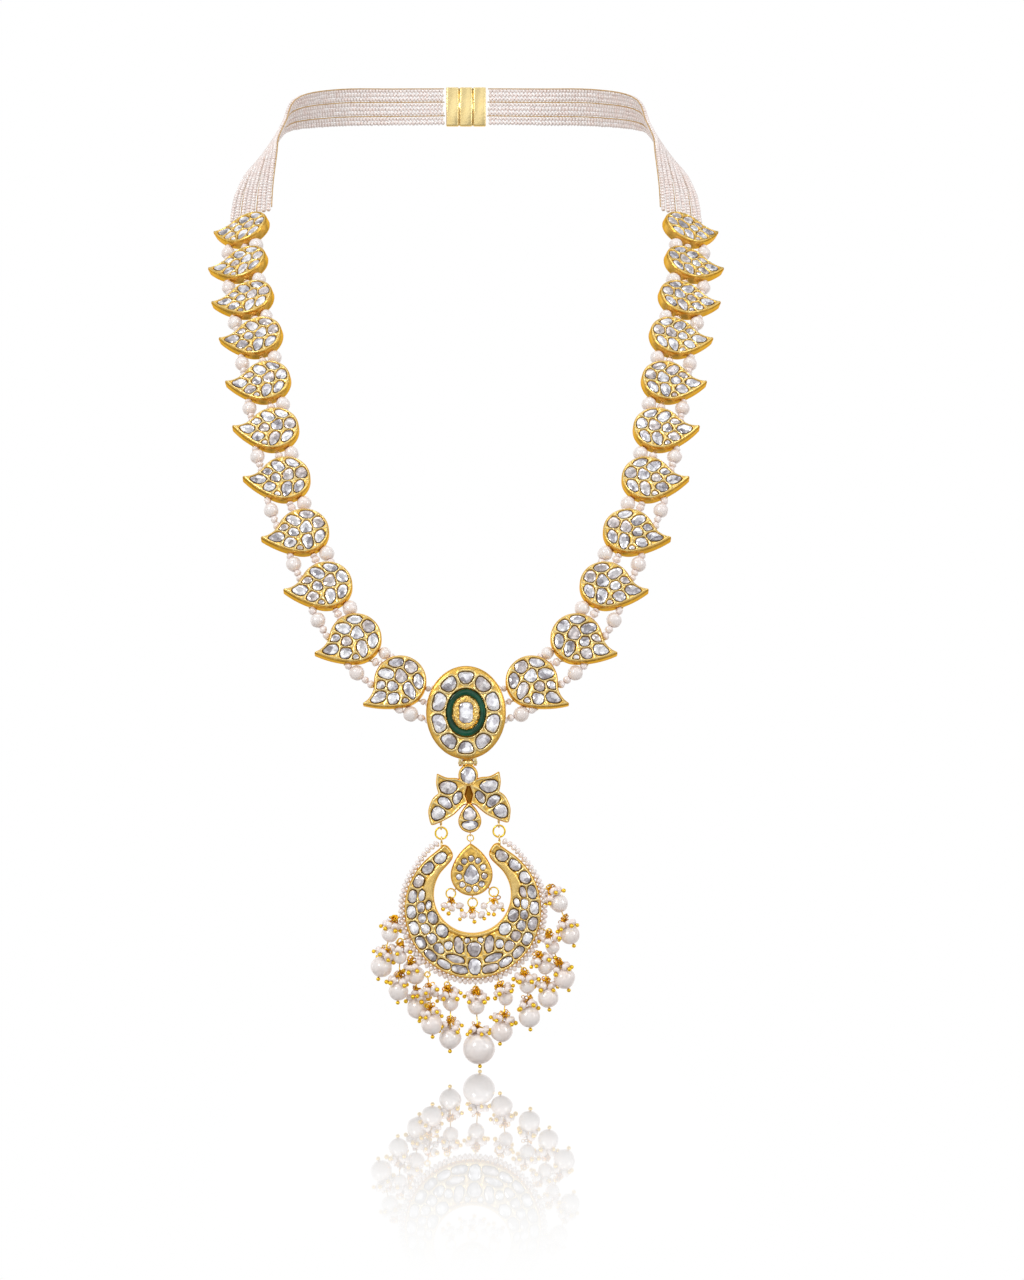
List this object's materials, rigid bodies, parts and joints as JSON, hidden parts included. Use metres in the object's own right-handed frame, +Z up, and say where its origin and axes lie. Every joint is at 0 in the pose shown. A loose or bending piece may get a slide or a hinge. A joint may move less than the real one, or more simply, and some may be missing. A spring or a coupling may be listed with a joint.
{
  "type": "polki necklace",
  "caption": "Long worn necklace of paisley gold links set with flat cut stones, with an oval centre piece, a hung crescent, an inner drop and a fringe of pearls.",
  "frame": {"origin": "middle of the inner face of the clasp, where the back of the necklace rests on the nape", "axes": "+Z up, -Y to the front of the necklace, +X to the right in the picture"},
  "size_m": [0.2048, 0.2377, 0.3986],
  "materials": {
    "gold": "satin high-carat gold",
    "foiled_stone": "flat cut stone on silver foil",
    "pearl": "nacre",
    "enamel": "glossy green enamel",
    "thread": "stringing thread"
  },
  "bodies": {
    "necklace": {"link_l01": "gold", "link_l02": "gold", "link_l03": "gold", "link_l04": "gold", "link_l05": "gold", "link_l06": "gold", "link_l07": "gold", "link_l08": "gold", "link_l09": "gold", "link_l10": "gold", "link_l11": "gold", "link_r01": "gold", "link_r02": "gold", "link_r03": "gold", "link_r04": "gold", "link_r05": "gold", "link_r06": "gold", "link_r07": "gold", "link_r08": "gold", "link_r09": "gold", "link_r10": "gold", "link_r11": "gold", "link_stones_left": "foiled_stone", "link_stones_right": "foiled_stone", "threads_left": "thread", "threads_right": "thread", "spacer_pearls_left": "pearl", "spacer_pearls_right": "pearl", "middle_beads_left": "pearl", "middle_beads_right": "pearl", "seed_band_left": "pearl", "seed_band_right": "pearl", "clasp": "gold", "oval_frame": "gold", "oval_stones": "foiled_stone", "oval_enamel": "enamel", "oval_centre_stone": "foiled_stone"},
    "connector": {"connector": "gold", "connector_stones": "foiled_stone"},
    "crescent": {"jump_ring_left": "gold", "jump_ring_right": "gold", "crescent": "gold", "crescent_stones": "foiled_stone", "seed_border": "pearl", "fringe_rings": "gold", "fringe_wires": "gold", "fringe_clusters_upper": "pearl", "fringe_clusters_lower": "pearl", "fringe_pearls_upper": "pearl", "fringe_pearls_lower": "pearl", "bottom_pearl": "pearl"},
    "drop": {"drop": "gold", "drop_stones": "foiled_stone", "drop_link": "gold", "drop_rings": "gold", "drop_clusters": "pearl"}
  },
  "joints": [
    {"name": "connector_hinge", "type": "hinge", "parent": "necklace", "child": "connector", "pos_m": [0.00063, -0.228, -0.28009], "axis": [0.9994, 0, 0.0349], "range_deg": [-25, 25]},
    {"name": "crescent_swing", "type": "hinge", "parent": "connector", "child": "crescent", "pos_m": [0.00143, -0.228, -0.30297], "axis": [0.9994, 0, 0.0349], "range_deg": [-25, 25]},
    {"name": "drop_swing", "type": "hinge", "parent": "connector", "child": "drop", "pos_m": [0.00154, -0.228, -0.30602], "axis": [0.9994, 0, 0.0349], "range_deg": [-30, 30]}
  ]
}
